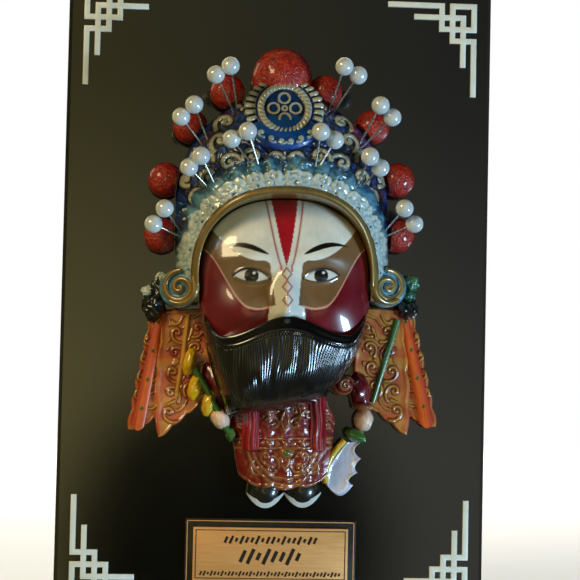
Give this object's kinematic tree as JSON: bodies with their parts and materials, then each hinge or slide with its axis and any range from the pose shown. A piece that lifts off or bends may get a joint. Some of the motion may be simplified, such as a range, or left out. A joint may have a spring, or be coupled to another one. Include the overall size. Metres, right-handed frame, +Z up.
{
  "type": "opera figure wall plaque",
  "caption": "Upright black wall plaque with fretwork corners, a label plate and a moulded, painted opera general with a big painted head, crown, pearl pins and beard.",
  "frame": {"origin": "middle of the board's flat back, which goes against the wall", "axes": "+Z up along the board's height, +X to the right seen from the front, +Y into the wall; the front faces -Y"},
  "size_m": [0.14, 0.0443, 0.206],
  "materials": {
    "board": "black gloss lacquer",
    "corner_silver": "polished silver",
    "label_backing": "black gloss",
    "label_brass": "brushed gold",
    "crown_paint": "hand-painted blue and teal with cream and gold relief, varnished",
    "face_paint": "hand-painted in white, dark red, taupe and black, varnished",
    "beard_paint": "black gloss paint",
    "robe_paint": "hand-painted in dark red and gold, varnished",
    "pompom_red": "rough glossy red",
    "pearl_pin": "pearl finish on a silver wire"
  },
  "bodies": {
    "root": {"backing_board": "board", "label_surround": "label_backing", "label_plate": "label_brass", "crown": "crown_paint", "face": "face_paint", "beard": "beard_paint", "robed_body": "robe_paint", "pompom_top": "pompom_red", "corner_fret_top_left": "corner_silver", "corner_fret_top_right": "corner_silver", "corner_fret_bottom_left": "corner_silver", "corner_fret_bottom_right": "corner_silver", "pompom_left_1": "pompom_red", "pompom_left_2": "pompom_red", "pompom_left_3": "pompom_red", "pompom_left_4": "pompom_red", "pearl_pin_left_1": "pearl_pin", "pearl_pin_left_2": "pearl_pin", "pearl_pin_left_3": "pearl_pin", "pearl_pin_left_4": "pearl_pin", "pearl_pin_left_5": "pearl_pin", "pearl_pin_left_6": "pearl_pin", "pearl_pin_left_7": "pearl_pin", "pearl_pin_left_8": "pearl_pin", "pearl_pin_left_9": "pearl_pin", "pearl_pin_left_10": "pearl_pin", "pompom_right_1": "pompom_red", "pompom_right_2": "pompom_red", "pompom_right_3": "pompom_red", "pompom_right_4": "pompom_red", "pearl_pin_right_1": "pearl_pin", "pearl_pin_right_2": "pearl_pin", "pearl_pin_right_3": "pearl_pin", "pearl_pin_right_4": "pearl_pin", "pearl_pin_right_5": "pearl_pin", "pearl_pin_right_6": "pearl_pin", "pearl_pin_right_7": "pearl_pin", "pearl_pin_right_8": "pearl_pin", "pearl_pin_right_9": "pearl_pin", "pearl_pin_right_10": "pearl_pin"}
  },
  "joints": []
}
